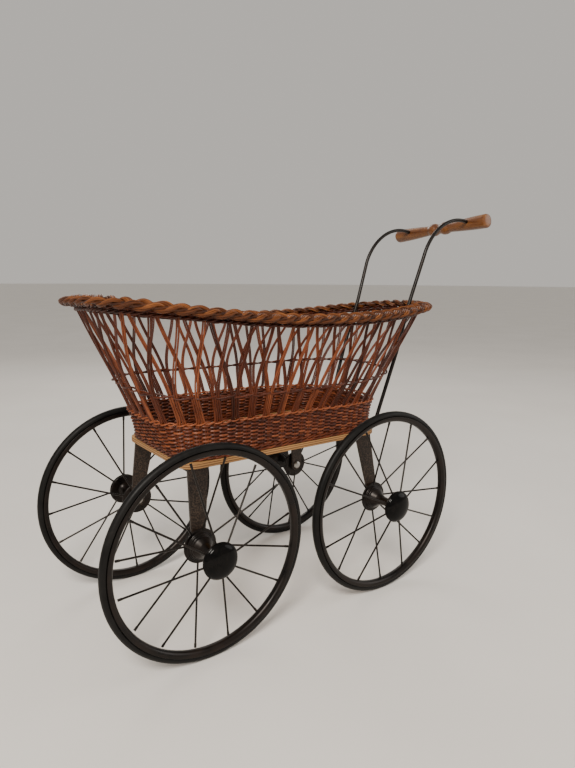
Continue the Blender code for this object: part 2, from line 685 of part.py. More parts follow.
def rod_clip(name, x, side, looks):
    """A P-clip: a strap round the underside of the rod with one flat tab against the board."""
    rod_z = BOARD_UNDERSIDE_Z - CLEAR - ROD_R - 0.0002
    top = BOARD_UNDERSIDE_Z - CLEAR
    inner_r, outer_r = ROD_R + CLEAR, ROD_R + CLEAR + CLIP_THICK
    steps = 8
    inner = [(inner_r * cos(-pi * k / steps), inner_r * sin(-pi * k / steps)) for k in range(steps + 1)]
    outer = [(y * outer_r / inner_r, z * outer_r / inner_r) for y, z in inner]
    rise = top - rod_z
    tab_low = rise - CLIP_THICK
    tab = [(-inner_r, rise), (-CLIP_TAB_END, rise), (-CLIP_TAB_END, tab_low), (-outer_r, tab_low)]
    section = [(inner_r, rise)] + inner[1:-1] + tab + list(reversed(outer[1:-1])) + [(outer_r, rise)]
    sides = (x + SHIFT_X - CLIP_WIDTH / 2, x + SHIFT_X + CLIP_WIDTH / 2)
    points = [(w, side * (ROD_FOOT_Y + y), rod_z + z) for w in sides for y, z in section]
    count = len(section)
    faces = [tuple(range(count)), tuple(reversed(range(count, 2 * count)))]
    faces += [(k, count + k, count + (k + 1) % count, (k + 1) % count) for k in range(count)]
    made = add_object(name, points, faces, looks["steel"], 35)
    recalculate(made)
    hole_y = side * (ROD_FOOT_Y - CLIP_SCREW_Y)
    boolean(made, screw_hole(name + "_hole", x, hole_y, top - 0.006, top + 0.001), "DIFFERENCE")
    return made


def fasteners(looks):
    """Screws for the legs' feet and the P-clips. Returns the blind holes that they need in the board."""
    holes = []
    seat = BOARD_UNDERSIDE_Z - CLEAR - LEG_THICK - CLEAR
    for wheel, (side_x, side_y, _) in WHEELS.items():
        for k, (x, y) in enumerate(foot_screws(side_x, side_y)):
            screw_object(f"leg_screw_{wheel}_{k + 1}", x, y, seat, LEG_SCREW_LENGTH, looks["steel"])
            holes.append(board_hole(f"board_hole_{wheel}_{k}", x, y, seat + LEG_SCREW_LENGTH))
    seat = BOARD_UNDERSIDE_Z - CLEAR - CLIP_THICK - CLEAR
    for k, (x, y) in enumerate(clip_screws()):
        screw_object(f"clip_screw_{k + 1}", x, y, seat, CLIP_SCREW_LENGTH, looks["steel"])
        holes.append(board_hole(f"board_hole_clip_{k}", x, y, seat + CLIP_SCREW_LENGTH))
    return holes


def build():
    clear_scene()
    looks = {
        "willow": material("stained_willow", (0.20, 0.075, 0.035), 0.55),
        "willow_rim": material("golden_willow", (0.30, 0.14, 0.055), 0.50),
        "ply": material("natural_plywood", (0.62, 0.42, 0.22), 0.60),
        "turned_wood": material("varnished_beech", (0.50, 0.27, 0.10), 0.40),
        "hammertone": material("hammertone_paint", (0.075, 0.068, 0.062), 0.42, 0.6),
        "rod_steel": material("dark_rod_steel", (0.040, 0.034, 0.030), 0.35, 0.8),
        "steel": material("plain_steel", (0.35, 0.34, 0.33), 0.35, 1.0),
        "rubber": material("black_rubber", (0.012, 0.012, 0.012), 0.65),
        "gloss_black": material("gloss_black_plastic", (0.008, 0.008, 0.008), 0.12),
    }
    holes = fasteners(looks)
    base_board(looks, holes)
    lower_weave(looks)
    stake_lattice(looks)
    rim_braid(looks)
    for wheel in WHEELS:
        wheel_set(wheel, looks)
    grip(looks, {-1: handle_rod("handle_rod_left", -1, looks), 1: handle_rod("handle_rod_right", 1, looks)})
    for k, (x, y) in enumerate(clip_screws()):
        rod_clip(f"rod_clip_{k + 1}", x, 1 if y > 0 else -1, looks)


build()
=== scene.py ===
"""Looks of the wicker doll pram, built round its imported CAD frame.

The willow work is made rod by rod: randed wall, waling, crossed stakes, fitching and a plaited border.
The wheels, legs, board, handle and fastenings are finer pieces in their CAD nodes' places. Metres, +Z up.
"""

from math import atan, cos, hypot, pi, radians, sin

import bmesh
import bpy
import numpy as np
from mathutils import Matrix, Vector


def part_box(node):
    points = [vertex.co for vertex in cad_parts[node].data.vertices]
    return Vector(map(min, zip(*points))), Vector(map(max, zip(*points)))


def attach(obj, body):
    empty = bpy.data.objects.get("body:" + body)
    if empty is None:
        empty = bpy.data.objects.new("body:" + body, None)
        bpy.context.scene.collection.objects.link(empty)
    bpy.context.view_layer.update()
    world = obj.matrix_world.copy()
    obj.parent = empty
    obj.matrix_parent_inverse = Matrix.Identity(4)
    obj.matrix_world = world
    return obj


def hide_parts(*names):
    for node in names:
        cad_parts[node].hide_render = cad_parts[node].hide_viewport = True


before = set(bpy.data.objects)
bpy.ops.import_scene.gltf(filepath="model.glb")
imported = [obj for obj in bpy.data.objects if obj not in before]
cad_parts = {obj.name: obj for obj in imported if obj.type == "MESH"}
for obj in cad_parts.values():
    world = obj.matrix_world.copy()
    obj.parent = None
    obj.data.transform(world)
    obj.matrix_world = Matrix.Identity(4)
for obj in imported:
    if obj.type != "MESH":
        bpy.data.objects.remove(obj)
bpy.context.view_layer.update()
random = np.random.RandomState(7)
CHASSIS = "chassis"
WHEELS = ("front_left", "front_right", "rear_left", "rear_right")


def middle(node):
    low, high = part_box(node)
    return (low + high) / 2


def in_scene(name, data):
    made = bpy.data.objects.new(name, data)
    bpy.context.scene.collection.objects.link(made)
    return made


# ==== materials
def node(tree, kind, inputs=None, **settings):
    """One shader node. An input is a value or another node's output socket."""
    made = tree.nodes.new(kind)
    for key, value in settings.items():
        setattr(made, key, value)
    for key, value in (inputs or {}).items():
        if isinstance(value, bpy.types.NodeSocket):
            tree.links.new(value, made.inputs[key])
        else:
            made.inputs[key].default_value = value
    return made


def scaled(tree, vector, factors):
    return node(tree, "ShaderNodeMapping", {"Vector": vector, "Scale": factors}).outputs["Vector"]


def noise(tree, vector, scale, detail=3.0, roughness=0.5, distortion=0.0):
    inputs = {"Vector": vector, "Scale": scale, "Detail": detail, "Roughness": roughness,
              "Distortion": distortion}
    return node(tree, "ShaderNodeTexNoise", inputs).outputs["Fac"]


def ramp(tree, factor, stops):
    """A colour ramp through (position, (r, g, b)) stops."""
    made = node(tree, "ShaderNodeValToRGB", {"Fac": factor})
    elements = made.color_ramp.elements
    while len(elements) < len(stops):
        elements.new(0.5)
    for element, (position, colour) in zip(elements, stops):
        element.position = position
        element.color = (*colour, 1.0)
    return made.outputs["Color"]


def spread(tree, value, low, high, from_low=0.0, from_high=1.0):
    """Maps the value's range from_low to from_high onto low to high, and holds it at the ends."""
    inputs = {"Value": value, "From Min": from_low, "From Max": from_high, "To Min": low, "To Max": high}
    return node(tree, "ShaderNodeMapRange", inputs).outputs["Result"]


def math(tree, operation, first, second):
    made = node(tree, "ShaderNodeMath", {0: first, 1: second}, operation=operation)
    return made.outputs["Value"]


def mixed(tree, factor, first, second):
    """The colour between first and second. The node's sockets share names, so they are told apart by type."""
    made = tree.nodes.new("ShaderNodeMix")
    made.data_type = "RGBA"
    for key, value in (("Factor", factor), ("A", first), ("B", second)):
        kind = "VALUE" if key == "Factor" else "RGBA"
        socket = next(s for s in made.inputs if s.name == key and s.type == kind)
        if isinstance(value, bpy.types.NodeSocket):
            tree.links.new(value, socket)
        else:
            socket.default_value = value if key == "Factor" else (*value, 1.0)
    return next(s for s in made.outputs if s.type == "RGBA")


def bump(tree, height, strength, distance):
    inputs = {"Height": height, "Strength": strength, "Distance": distance}
    return node(tree, "ShaderNodeBump", inputs).outputs["Normal"]


def total(tree, first, *parts):
    """The first value plus each of the others times its factor."""
    for value, factor in parts:
        first = math(tree, "ADD", first, math(tree, "MULTIPLY", value, factor))
    return first


def finish(name, paint, **fixed):
    """A material: fixed values go on the shader's sockets, and paint gives its linked inputs.

    paint takes the node tree and the point in the piece's own coordinates.
    """
    made = bpy.data.materials.new(name)
    made.use_nodes = True
    tree = made.node_tree
    shader = tree.nodes["Principled BSDF"]
    for key, value in fixed.items():
        shader.inputs[key.replace("_", " ")].default_value = value
    place = node(tree, "ShaderNodeTexCoord").outputs["Object"]
    for key, socket in paint(tree, place).items():
        tree.links.new(socket, shader.inputs[key])
    return made


def willow_material(name, dark, middle_tone, light, gloss):
    """Stained willow rods: streaks along each rod, a tone of its own for each, and darker patches."""

    def paint(tree, place):
        uv = node(tree, "ShaderNodeUVMap", uv_map="along").outputs["UV"]
        tone = node(tree, "ShaderNodeAttribute", attribute_name="tone").outputs["Fac"]
        streaks = noise(tree, scaled(tree, uv, (26.0, 2.6, 1.0)), 2.2, 4.0, 0.6)
        fibres = noise(tree, scaled(tree, uv, (55.0, 14.0, 1.0)), 3.0, 2.0, 0.5)
        patches = noise(tree, place, 23.0, 3.0, 0.6)
        level = total(tree, math(tree, "MULTIPLY", streaks, 0.55), (tone, 0.42), (patches, 0.30))
        level = spread(tree, level, 0.0, 1.0, 0.34, 0.94)
        colour = ramp(tree, level, ((0.0, dark), (0.5, middle_tone), (1.0, light)))
        rough = spread(tree, streaks, gloss - 0.08, gloss + 0.14, 0.3, 0.7)
        return {"Base Color": colour, "Roughness": rough,
                "Normal": bump(tree, total(tree, fibres, (streaks, 0.8)), 0.35, 0.0004)}

    return finish(name, paint, Specular_IOR_Level=0.28)


PLIES = 5.0               # layers of the plywood board


def ply_material():
    """Bare plywood: grain along X on the faces, thin crossing layers on the edge."""

    def paint(tree, place):
        grain = noise(tree, scaled(tree, place, (5.0, 70.0, 20.0)), 2.0, 5.0, 0.62, 0.6)
        rings = noise(tree, scaled(tree, place, (2.2, 16.0, 2.0)), 1.6, 2.0, 0.5, 1.4)
        figure = total(tree, math(tree, "MULTIPLY", grain, 0.6), (rings, 0.4))
        face = ramp(tree, figure, ((0.30, (0.28, 0.135, 0.046)), (0.52, (0.40, 0.215, 0.080)),
                                   (0.75, (0.49, 0.285, 0.115))))
        low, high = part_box("base_board")
        height = node(tree, "ShaderNodeSeparateXYZ", {"Vector": place}).outputs["Z"]
        layer = spread(tree, height, 0.0, PLIES, low.z, high.z)
        across = math(tree, "PINGPONG", layer, 1.0)
        fine = noise(tree, scaled(tree, place, (130.0, 130.0, 420.0)), 3.0, 3.0, 0.6)
        layered = total(tree, math(tree, "MULTIPLY", across, 0.7), (fine, 0.3))
        edge = ramp(tree, layered, ((0.22, (0.115, 0.048, 0.016)), (0.45, (0.26, 0.125, 0.042)),
                                    (0.8, (0.40, 0.215, 0.082))))
        facing = node(tree, "ShaderNodeSeparateXYZ",
                      {"Vector": node(tree, "ShaderNodeNewGeometry").outputs["Normal"]}).outputs["Z"]
        flat = spread(tree, math(tree, "ABSOLUTE", facing, 0.0), 0.0, 1.0, 0.55, 0.8)
        return {"Base Color": mixed(tree, flat, edge, face),
                "Roughness": spread(tree, grain, 0.5, 0.72, 0.3, 0.7),
                "Normal": bump(tree, math(tree, "ADD", grain, fine), 0.25, 0.0003)}

    return finish("plywood", paint, Specular_IOR_Level=0.35)


def turned_wood_material():
    """Varnished beech, its grain along Y, with short dark flecks."""

    def paint(tree, place):
        grain = noise(tree, scaled(tree, place, (75.0, 9.0, 75.0)), 1.6, 4.0, 0.6, 0.5)
        flecks = noise(tree, scaled(tree, place, (420.0, 60.0, 420.0)), 1.5, 1.0, 0.5)
        colour = ramp(tree, grain, ((0.28, (0.070, 0.019, 0.0030)), (0.5, (0.135, 0.044, 0.0075)),
                                    (0.74, (0.22, 0.088, 0.018))))
        fleck = spread(tree, flecks, 0.0, 0.55, 0.60, 0.72)
        colour = mixed(tree, fleck, colour, (0.045, 0.0125, 0.003))
        return {"Base Color": colour, "Roughness": spread(tree, grain, 0.30, 0.46, 0.3, 0.7),
                "Normal": bump(tree, math(tree, "ADD", grain, flecks), 0.12, 0.0003)}

    return finish("varnished_beech", paint, Coat_Weight=0.08, Coat_Roughness=0.30)


def hammertone_material():
    """Hammered paint on steel: a dimpled dark skin, lighter on the crowns between the dimples."""

    def paint(tree, place):
        bent = noise(tree, place, 330.0, 2.0, 0.5)
        cells = node(tree, "ShaderNodeTexVoronoi", {"Vector": place, "Scale": 640.0},
                     feature="SMOOTH_F1").outputs["Distance"]
        hammered = total(tree, cells, (bent, 0.7))
        patches = noise(tree, place, 30.0, 3.0, 0.55)
        colour = ramp(tree, hammered, ((0.40, (0.0038, 0.0022, 0.0014)), (0.68, (0.0118, 0.0072, 0.0046)),
                                       (1.0, (0.050, 0.033, 0.023))))
        warm = spread(tree, patches, 0.0, 0.5, 0.50, 0.72)
        colour = mixed(tree, warm, colour, (0.020, 0.0098, 0.0052))
        return {"Base Color": colour, "Roughness": spread(tree, hammered, 0.34, 0.54, 0.3, 1.0),
                "Normal": bump(tree, hammered, 0.35, 0.0003)}

    return finish("hammertone_paint", paint, Metallic=0.15, Specular_IOR_Level=0.35)


def rod_material(name, dark, light, rough):
    """Dark lacquered steel with faint brown patches."""

    def paint(tree, place):
        patches = noise(tree, place, 42.0, 4.0, 0.6)
        fine = noise(tree, place, 480.0, 2.0, 0.5)
        colour = ramp(tree, patches, ((0.35, dark), (0.7, light)))
        return {"Base Color": colour,
                "Roughness": spread(tree, patches, rough - 0.06, rough + 0.14, 0.3, 0.7),
                "Normal": bump(tree, fine, 0.08, 0.0002)}

    return finish(name, paint, Metallic=0.55)


def plated_material():
    """Dull zinc-plated steel with brown spots."""

    def paint(tree, place):
        patches = noise(tree, place, 90.0, 4.0, 0.6)
        colour = ramp(tree, patches, ((0.35, (0.30, 0.285, 0.26)), (0.6, (0.46, 0.45, 0.43)),
                                      (0.8, (0.24, 0.17, 0.11))))
        return {"Base Color": colour, "Roughness": spread(tree, patches, 0.28, 0.5, 0.3, 0.7),
                "Normal": bump(tree, noise(tree, place, 700.0, 2.0), 0.06, 0.0002)}

    return finish("dull_plated_steel", paint, Metallic=0.9)


def rubber_material():
    """Solid rubber: nearly black, with a little floor dust that dulls it in patches."""

    def paint(tree, place):
        dust = noise(tree, place, 38.0, 5.0, 0.68)
        fine = noise(tree, place, 900.0, 2.0, 0.5)
        colour = ramp(tree, dust, ((0.38, (0.0035, 0.0032, 0.0030)), (0.62, (0.0075, 0.0068, 0.0062)),
                                   (0.85, (0.022, 0.019, 0.016))))
        return {"Base Color": colour, "Roughness": spread(tree, dust, 0.40, 0.62, 0.35, 0.7),
                "Normal": bump(tree, fine, 0.10, 0.0002)}

    return finish("black_rubber", paint, Specular_IOR_Level=0.15)


def gloss_black_material():
    """Glossy black lacquer with faint rub marks."""

    def paint(tree, place):
        rubs = noise(tree, place, 120.0, 4.0, 0.7)
        colour = ramp(tree, rubs, ((0.4, (0.0016, 0.0015, 0.0015)), (0.8, (0.0060, 0.0050, 0.0045))))
        return {"Roughness": spread(tree, rubs, 0.07, 0.20, 0.4, 0.75), "Base Color": colour,
                "Normal": bump(tree, rubs, 0.02, 0.0002)}

    return finish("gloss_black", paint, Specular_IOR_Level=0.09, Coat_Weight=0.03, Coat_Roughness=0.05)


def floor_material():
    def paint(tree, place):
        clouds = noise(tree, place, 3.0, 3.0, 0.5)
        return {"Base Color": ramp(tree, clouds, ((0.3, (0.74, 0.71, 0.67)), (0.7, (0.78, 0.75, 0.71))))}

    return finish("pale_floor", paint, Roughness=0.7, Specular_IOR_Level=0.25)


LOOKS = {
    "willow": willow_material("stained_willow", (0.011, 0.0016, 0.0004), (0.094, 0.0182, 0.0046),
                              (0.33, 0.094, 0.032), 0.38),
    "willow_rim": willow_material("golden_willow", (0.014, 0.0030, 0.0006), (0.104, 0.0285, 0.0055),
                                  (0.33, 0.116, 0.028), 0.38),
    "plywood": ply_material(),
    "turned_wood": turned_wood_material(),
    "hammertone": hammertone_material(),
    "rod_steel": rod_material("dark_rod_steel", (0.0050, 0.0036, 0.0028), (0.0140, 0.0090, 0.0062), 0.32),
    "steel": plated_material(),
    "rubber": rubber_material(),
    "gloss_black": gloss_black_material(),
}
WHEEL_ENAMEL = rod_material("dark_wheel_enamel", (0.0042, 0.0027, 0.0020), (0.0125, 0.0072, 0.0048), 0.30)


# ==== mesh helpers
def mesh_object(name, points, faces, slot, body=CHASSIS, smooth_angle=None, replaces=()):
    """A piece from points and faces, with its look, its body and the CAD nodes that it stands for."""
    mesh = bpy.data.meshes.new(name)
    mesh.from_pydata([tuple(p) for p in points], [], faces)
    return piece(name, mesh, slot, body, smooth_angle, replaces)


def piece(name, mesh, slot, body, smooth_angle=None, replaces=()):
    """Puts a mesh into the scene as a piece. The angle is in degrees, from which an edge stays sharp."""
    mesh.materials.append(LOOKS[slot])
    if smooth_angle is not None:
        shade(mesh, smooth_angle)
    made = in_scene(name, mesh)
    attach(made, body)
    if replaces:
        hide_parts(*replaces)
    return made


def shade(mesh, smooth_angle):
    mesh.shade_smooth()
    mesh.set_sharp_from_angle(angle=radians(smooth_angle))


def unit(vectors):
    return vectors / np.maximum(np.linalg.norm(vectors, axis=-1, keepdims=True), 1e-12)


class Strands:
    """Round rods gathered into one mesh, with a UV that runs along each and a tone of its own."""

    TONE_SHIFT = 7.3          # a rod's tone also moves its UV, so that no two rods have the same streaks
    END_SHIFT = 3.1
    END_SIZE = 0.01           # size of a rod's end disc in UV

    def __init__(self, sides):
        self.sides = sides
        self.points, self.tones, self.loops, self.totals, self.uvs = [], [], [], [], []
        self.count = 0

    def add(self, path, radius, facing, tone=0.5, closed=False):
        """facing keeps the rod's frame from turning: one direction, or one for each point of the path."""
        path = np.asarray(path, float)
        n, sides = len(path), self.sides
        if closed:
            along = np.roll(path, -1, axis=0) - np.roll(path, 1, axis=0)
        else:
            along = np.gradient(path, axis=0)
        along = unit(along)
        facing = np.broadcast_to(np.asarray(facing, float), path.shape)
        first = unit(facing - (facing * along).sum(1, keepdims=True) * along)
        second = np.cross(along, first)
        angle = 2 * pi * np.arange(sides) / sides
        radius = np.broadcast_to(np.asarray(radius, float), (n,))
        ring = first[:, None] * np.cos(angle)[None, :, None] + second[:, None] * np.sin(angle)[None, :, None]
        self.points.append((path[:, None] + ring * radius[:, None, None]).reshape(-1, 3))
        self.tones.append(np.full(n * sides, tone))
        rows = n if closed else n - 1
        i, k = np.meshgrid(np.arange(rows), np.arange(sides), indexing="ij")
        j, m = (i + 1) % n, (k + 1) % sides
        quads = np.stack([i * sides + k, i * sides + m, j * sides + m, j * sides + k], axis=-1).reshape(-1, 4)
        self.loops.append(quads.reshape(-1) + self.count)
        self.totals.append(np.full(len(quads), 4))
        steps = np.linalg.norm(np.diff(np.vstack([path, path[:1]]), axis=0), axis=1)
        run = np.concatenate([[0.0], np.cumsum(steps)]) + self.TONE_SHIFT * tone
        u = np.stack([run[i], run[i], run[i + 1], run[i + 1]], axis=-1)
        v = np.stack([k, k + 1, k + 1, k], axis=-1) / sides
        self.uvs.append(np.stack([u, v], axis=-1).reshape(-1, 2))
        if not closed:
            for start, order in ((0, np.arange(sides)[::-1]), ((n - 1) * sides, np.arange(sides))):
                self.loops.append(order + start + self.count)
                self.totals.append(np.array([sides]))
                disc = np.stack([np.cos(angle[order]), np.sin(angle[order])], axis=-1) * self.END_SIZE
                self.uvs.append(disc + self.END_SHIFT * tone)
        self.count += n * sides

    def make(self, name, slot, body=CHASSIS, replaces=()):
        points = np.concatenate(self.points).astype(np.float32)
        loops = np.concatenate(self.loops).astype(np.int32)
        totals = np.concatenate(self.totals).astype(np.int32)
        mesh = bpy.data.meshes.new(name)
        mesh.vertices.add(len(points))
        mesh.vertices.foreach_set("co", points.ravel())
        mesh.loops.add(len(loops))
        mesh.loops.foreach_set("vertex_index", loops)
        mesh.polygons.add(len(totals))
        starts = np.concatenate([[0], np.cumsum(totals)[:-1]]).astype(np.int32)
        mesh.polygons.foreach_set("loop_start", starts)
        mesh.update(calc_edges=True)
        uvs = np.concatenate(self.uvs).astype(np.float32)
        mesh.uv_layers.new(name="along").data.foreach_set("uv", uvs.ravel())
        tones = mesh.attributes.new("tone", "FLOAT", "POINT")
        tones.data.foreach_set("value", np.concatenate(self.tones).astype(np.float32))
        mesh.validate()
        return piece(name, mesh, slot, body, 50, replaces)


def lathe(name, profile, segments, slot, body, at, side=1, smooth_angle=35, replaces=()):
    """A turned piece about Y through the point at. The profile has (y, r) points for the pram's +Y side."""
    points, starts = [], []
    for y, r in profile:
        starts.append(len(points))
        count = segments if r > 0 else 1
        for k in range(count):
            a = 2 * pi * k / segments
            points.append((at[0] + r * cos(a), at[1] + side * y, at[2] + r * sin(a)))
    closed = all(r > 0 for _, r in profile)
    faces = []
    for i in range(len(profile) if closed else len(profile) - 1):
        j = (i + 1) % len(profile)
        for k in range(segments):
            n = (k + 1) % segments
            a, b, c, d = starts[i] + k, starts[i] + n, starts[j] + n, starts[j] + k
            if profile[i][1] == 0:
                faces.append((starts[i], c, d))
            elif profile[j][1] == 0:
                faces.append((a, b, starts[j]))
            else:
                faces.append((a, b, c, d))
    made = mesh_object(name, points, faces, slot, body, None, replaces)
    outwards(made.data, smooth_angle)
    return made


def outwards(mesh, smooth_angle):
    """Turns a closed mesh's faces outwards, then shades it."""
    work = bmesh.new()
    work.from_mesh(mesh)
    bmesh.ops.recalc_face_normals(work, faces=work.faces)
    work.to_mesh(mesh)
    work.free()
    shade(mesh, smooth_angle)


def rounded(points, radius, steps):
    """A (y, r) profile with the corners between its straight runs rounded."""
    out = [points[0]]
    for before, corner, after in zip(points, points[1:], points[2:]):
        to_before = Vector((before[0] - corner[0], before[1] - corner[1]))
        to_after = Vector((after[0] - corner[0], after[1] - corner[1]))
        most = 0.45               # of the shorter run
        reach = min(radius, to_before.length * most, to_after.length * most)
        start = Vector(corner) + to_before.normalized() * reach
        end = Vector(corner) + to_after.normalized() * reach
        for k in range(steps + 1):
            t = k / steps
            out.append(tuple(start * (1 - t) ** 2 + Vector(corner) * 2 * t * (1 - t) + end * t * t))
    out.append(points[-1])
    return out


def smooth_curve(points, steps):
    """A curve through the points, with steps pieces between each two."""
    padded = [points[0]] + list(points) + [points[-1]]
    out = []
    for around in zip(padded, padded[1:], padded[2:], padded[3:]):
        for k in range(steps):
            t = k / steps
            out.append(tuple(
                0.5 * (2 * b + (c - a) * t + (2 * a - 5 * b + 4 * c - d) * t * t
                       + (3 * b - a - 3 * c + d) * t ** 3)
                for a, b, c, d in zip(*around)))
    out.append(tuple(points[-1]))
    return out


# ==== the basket's wall
BOARD_LOW, BOARD_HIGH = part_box("base_board")
WEAVE_LOW, WEAVE_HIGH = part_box("lower_weave")
RIM_LOW, RIM_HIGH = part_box("rim_braid")
MID_X = (BOARD_LOW.x + BOARD_HIGH.x) / 2
GROUPS = 42               # bundles of stakes round the basket
DOUBLES = 2 * GROUPS      # pairs of rods, spread evenly in the dense wall
WALL = 0.0070             # thickness of the dense wall
STAKE_R = 0.00132
WEAVER_R = 0.00136
RIM_OUT = 0.0150          # the plaited border's outer edge is this far out of its centre line
UNDER_RIM = RIM_OUT + 0.0040        # the stakes end a little inside that line
RIM_SHAPE = (3.5, 2.65)
RIM_HEIGHTS = (-0.0085, 0.0275, -0.0060)
RIM_LEAN = -0.0040

# Middle surface of the wall, bottom to top: front x, rear x, half width, superellipse exponents of the
# front and rear halves, height at the middle, its change over t from -1 at the front to +1 at the rear
# (factors of t, t squared and t to the fourth), and how much higher the right side is than the middle
LEVELS = (
    (MID_X - 0.1620, MID_X + 0.1620, 0.0900, (9.0, 9.0), BOARD_HIGH.z, (0.0, 0.0, 0.0), 0.0),
    (WEAVE_LOW.x + WALL / 2, WEAVE_HIGH.x - WALL / 2, WEAVE_HIGH.y - WALL / 2, (4.2, 3.2), 0.2950,
     (-0.0040, -0.0035, 0.0), 0.0015),
    (MID_X - 0.2005, MID_X + 0.2295, 0.1040, (4.0, 2.8), 0.3285, (-0.0020, 0.0050, 0.0), 0.0035),
    (RIM_LOW.x + UNDER_RIM, RIM_HIGH.x - UNDER_RIM, RIM_HIGH.y - UNDER_RIM, RIM_SHAPE, 0.4160, RIM_HEIGHTS,
     RIM_LEAN),
)
RIM_LINE = (RIM_LOW.x + RIM_OUT, RIM_HIGH.x - RIM_OUT, RIM_HIGH.y - RIM_OUT, RIM_SHAPE, 0.4180, RIM_HEIGHTS,
            RIM_LEAN)
KNOTS = [level[4] for level in LEVELS]


def ring(front, rear, half_width, exponents, base, heights, lean, count=1440):
    """Evenly spaced points round an outline, from the rear middle towards +Y and back to the first."""
    a = np.linspace(0.0, 2 * pi, count + 1)
    power = 2.0 / np.where(np.cos(a) < 0, *exponents)
    t = np.sign(np.cos(a)) * np.abs(np.cos(a)) ** power
    s = np.sign(np.sin(a)) * np.abs(np.sin(a)) ** power
    x = (front + rear) / 2 + (rear - front) / 2 * t
    y = half_width * s
    z = base + heights[0] * t + heights[1] * t ** 2 + heights[2] * t ** 4 + lean * s
    run = np.concatenate([[0.0], np.cumsum(np.hypot(np.diff(x), np.diff(y)))])
    even = np.linspace(0.0, run[-1], count + 1)
    return np.stack([np.interp(even, run, c) for c in (x, y, z)], axis=-1)


class Wall:
    """The wall's middle surface: u from 0 to 1 round it, h the height over the middle of the board."""

    ROWS = 160

    def __init__(self):
        rings = [ring(*level) for level in LEVELS]
        self.low, self.high = KNOTS[0], KNOTS[-1]
        heights = np.linspace(self.low, self.high, self.ROWS)
        slopes = [(rings[1] - rings[0]) / (KNOTS[1] - KNOTS[0])]
        for i in (1, 2):
            before = (rings[i] - rings[i - 1]) / (KNOTS[i] - KNOTS[i - 1])
            after = (rings[i + 1] - rings[i]) / (KNOTS[i + 1] - KNOTS[i])
            slopes.append((before + after) / 2)
        slopes.append((rings[3] - rings[2]) / (KNOTS[3] - KNOTS[2]))
        grid = []
        for h in heights:
            i = min(int(np.searchsorted(KNOTS, h, side="right")) - 1, len(KNOTS) - 2)
            span = KNOTS[i + 1] - KNOTS[i]
            t = (h - KNOTS[i]) / span
            ends = rings[i] * (2 * t ** 3 - 3 * t * t + 1) + rings[i + 1] * (3 * t * t - 2 * t ** 3)
            grid.append(ends + slopes[i] * span * (t ** 3 - 2 * t * t + t)
                        + slopes[i + 1] * span * (t ** 3 - t * t))
        self.grid = np.array(grid)
        self.length = np.linalg.norm(np.diff(self.grid, axis=1), axis=2).sum(1)
        self.along = unit(np.roll(self.grid[:, :-1], -1, axis=1) - np.roll(self.grid[:, :-1], 1, axis=1))
        self.along = np.concatenate([self.along, self.along[:, :1]], axis=1)
        up = unit(np.gradient(self.grid, axis=0))
        self.out = unit(np.cross(self.along, up))

    def sample(self, table, u, h):
        """A table's values at u and h, between its four nearest entries."""
        row = np.clip((h - self.low) / (self.high - self.low), 0.0, 1.0) * (len(table) - 1)
        column = (u % 1.0) * (table.shape[1] - 1)
        i = np.minimum(row.astype(int), len(table) - 2)
        j = np.minimum(column.astype(int), table.shape[1] - 2)
        p, q = (row - i)[:, None], (column - j)[:, None]
        return ((table[i, j] * (1 - p) + table[i + 1, j] * p) * (1 - q)
                + (table[i, j + 1] * (1 - p) + table[i + 1, j + 1] * p) * q)

    def at(self, u, h, out=0.0):
        """Points at u and h, moved outwards by out, and the outward direction there."""
        u, h = np.broadcast_arrays(np.asarray(u, float), np.asarray(h, float))
        outward = unit(self.sample(self.out, u, h))
        points = self.sample(self.grid, u, h) + outward * np.broadcast_to(out, u.shape)[:, None]
        return points, outward

    def length_at(self, h):
        """Length of the way round the wall at height h."""
        part = np.clip((np.asarray(h, float) - self.low) / (self.high - self.low), 0.0, 1.0)
        return np.interp(part * (len(self.length) - 1), np.arange(len(self.length)), self.length)


WALLS = Wall()


def twined(strands, h, rods, turns, thick, high, radius, tone, samples=10):
    """Rods twisted round the stakes at height h, as in waling or fitching, with a whole number of turns."""
    u = np.linspace(0.0, 1.0, turns * samples, endpoint=False)
    for k in range(rods):
        phase = 2 * pi * (u * turns + k / rods)
        wobble = 0.00025 * np.sin(2 * pi * u * 9 + 1.7 * k) + 0.0002 * np.sin(2 * pi * u * 23 + k)
        points, outward = WALLS.at(u, h + high * np.sin(phase) + wobble, thick * np.cos(phase))
        strands.add(points, radius, outward, tone + random.uniform(-0.18, 0.18), closed=True)


def wave(position):
    """Over and under the stakes: a cosine with flattened tops."""
    flat = 1.5
    return np.tanh(flat * np.cos(pi * position)) / np.tanh(flat)


